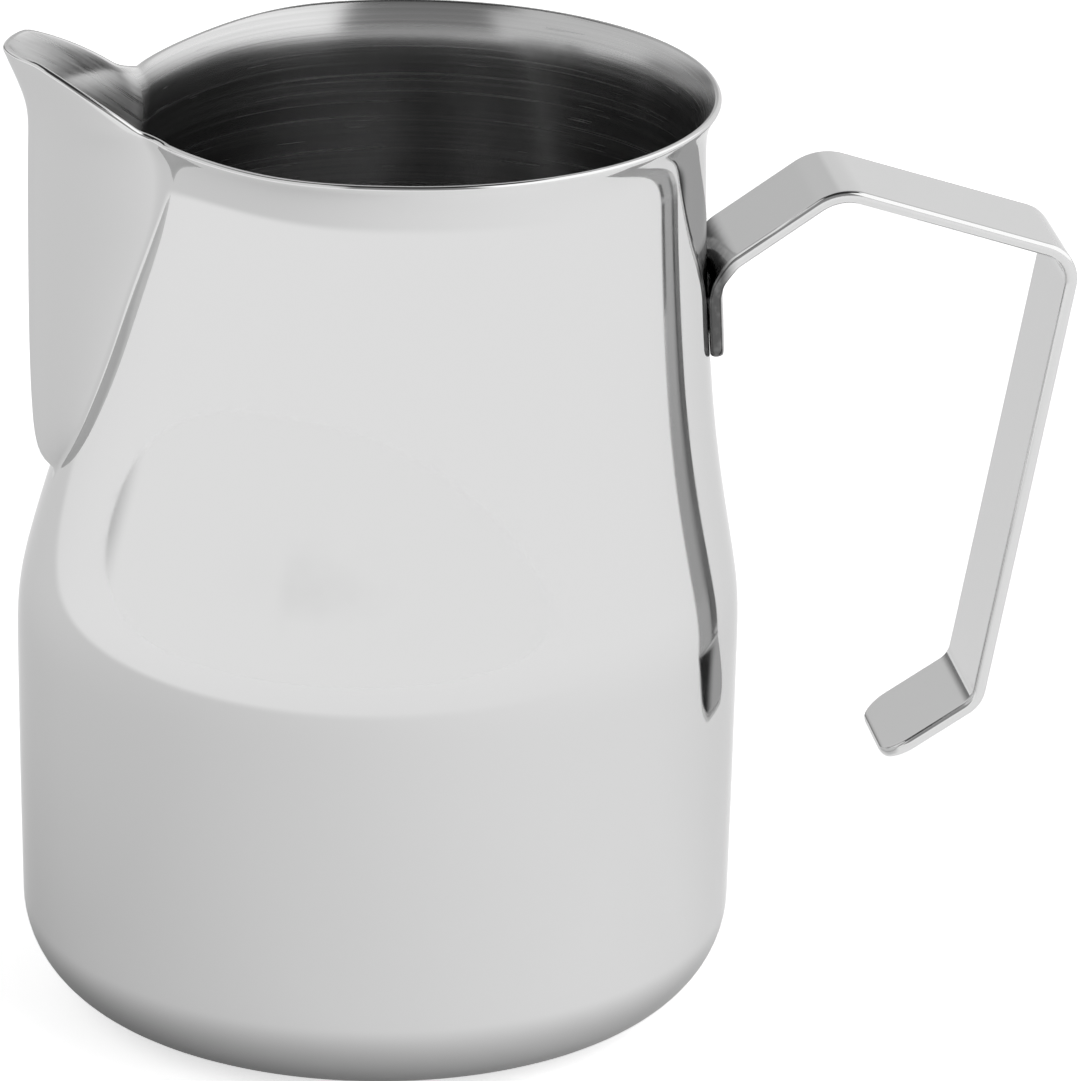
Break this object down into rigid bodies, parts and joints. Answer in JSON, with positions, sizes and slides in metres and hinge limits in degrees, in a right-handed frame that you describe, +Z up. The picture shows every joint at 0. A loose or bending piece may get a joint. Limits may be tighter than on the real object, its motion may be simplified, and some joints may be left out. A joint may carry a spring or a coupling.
{
  "type": "milk frothing pitcher",
  "caption": "Bell-shaped steel milk frothing pitcher with a round belly, a narrower neck, a flared open mouth, a pressed pouring spout and a bent flat strip handle, open at its lower end.",
  "frame": {"origin": "centre of the flat face that the base rests on", "axes": "+Z up, +X towards the handle and -X towards the spout, so the pitcher is symmetric about the XZ plane"},
  "size_m": [0.1299, 0.088, 0.1222],
  "materials": {
    "polished_steel": "mirror polished outside, fine circular brushing inside",
    "handle_steel": "polished faces with rounded, finely brushed edges",
    "weld_steel": "dull, heat-tinted weld"
  },
  "bodies": {
    "root": {"pitcher_body": "polished_steel", "handle": "handle_steel", "spot_weld_left": "weld_steel", "spot_weld_right": "weld_steel"}
  },
  "joints": []
}
